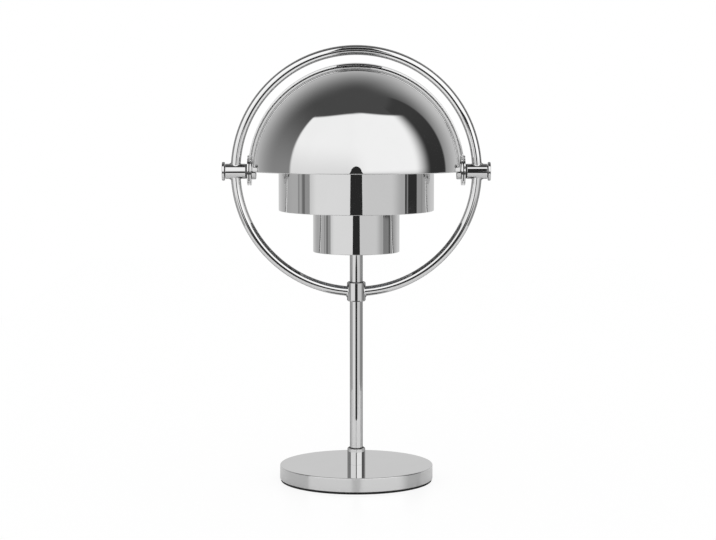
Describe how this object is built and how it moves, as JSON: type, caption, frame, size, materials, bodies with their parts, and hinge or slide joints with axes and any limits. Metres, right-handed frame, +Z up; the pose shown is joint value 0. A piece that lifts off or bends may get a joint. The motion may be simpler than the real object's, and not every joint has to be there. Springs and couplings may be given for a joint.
{
  "type": "table lamp",
  "caption": "Portable table lamp: round base, slim stem and upright ring that carries turning, nested quarter-sphere shades around stacked open cylinders.",
  "frame": {"origin": "centre of the foot's underside, on the stem's axis", "axes": "+Z up along the stem, +X along the shades' turning axis, -Y to the front"},
  "size_m": [0.1654, 0.1311, 0.2701],
  "materials": {
    "chrome": "polished plate",
    "black_foot": "matt",
    "black_steel": "satin black",
    "plain_steel": "bright zinc",
    "dark_screw": "black oxide",
    "cell_foil": "foil pouch",
    "board_green": "solder mask",
    "switch_black": "moulded",
    "washer_black": "moulded",
    "lead_sheath": "extruded",
    "heat_sink_metal": "turned",
    "board_white": "white solder mask",
    "chip_yellow": "phosphor",
    "opal": "opal, satin"
  },
  "bodies": {
    "stand": {"base_shell": "chrome", "base_collar": "chrome", "stem_tube": "chrome", "ring_collar": "chrome", "ring_upper_arc": "chrome", "ring_lower_arc_left": "chrome", "ring_lower_arc_right": "chrome", "pivot_barrel_left": "chrome", "pivot_barrel_right": "chrome", "pivot_bolt_left": "chrome", "pivot_bolt_right": "chrome", "pivot_nut_left": "chrome", "pivot_nut_right": "chrome", "large_cylinder": "chrome", "small_cylinder": "chrome", "foot_pad": "black_foot", "base_plate": "black_steel", "base_weight": "plain_steel", "base_plate_screws": "plain_steel", "stem_nut_base": "plain_steel", "stem_nut_lower": "plain_steel", "stem_nut_upper": "plain_steel", "shade_spider": "plain_steel", "charge_socket": "plain_steel", "ring_set_screw": "dark_screw", "battery_cell_left": "cell_foil", "battery_cell_right": "cell_foil", "control_board": "board_green", "button_switch": "switch_black", "thrust_washer_left": "washer_black", "thrust_washer_right": "washer_black", "friction_washer_left": "washer_black", "friction_washer_right": "washer_black", "stem_lead": "lead_sheath", "heat_sink": "heat_sink_metal", "led_board": "board_white", "led_chips": "chip_yellow", "diffuser": "opal"},
    "front_shade_body": {"front_shade": "chrome"},
    "rear_shade_body": {"rear_shade": "chrome"},
    "button_body": {"power_button": "chrome"}
  },
  "joints": [
    {"name": "front_shade_turn", "type": "hinge", "parent": "stand", "child": "front_shade_body", "pos_m": [0, 0, 0.1927], "axis": [-1, 0, 0], "range_deg": [-86, 174]},
    {"name": "rear_shade_turn", "type": "hinge", "parent": "stand", "child": "rear_shade_body", "pos_m": [0, 0, 0.1927], "axis": [1, 0, 0], "range_deg": [-92.5, 167.5]},
    {"name": "button_press", "type": "slide", "parent": "stand", "child": "button_body", "axis": [-0.2416, -0.9704, 0], "range_m": [0, 0.0006], "stiffness_N_per_m": 1500, "springref_m": -0.0004}
  ]
}
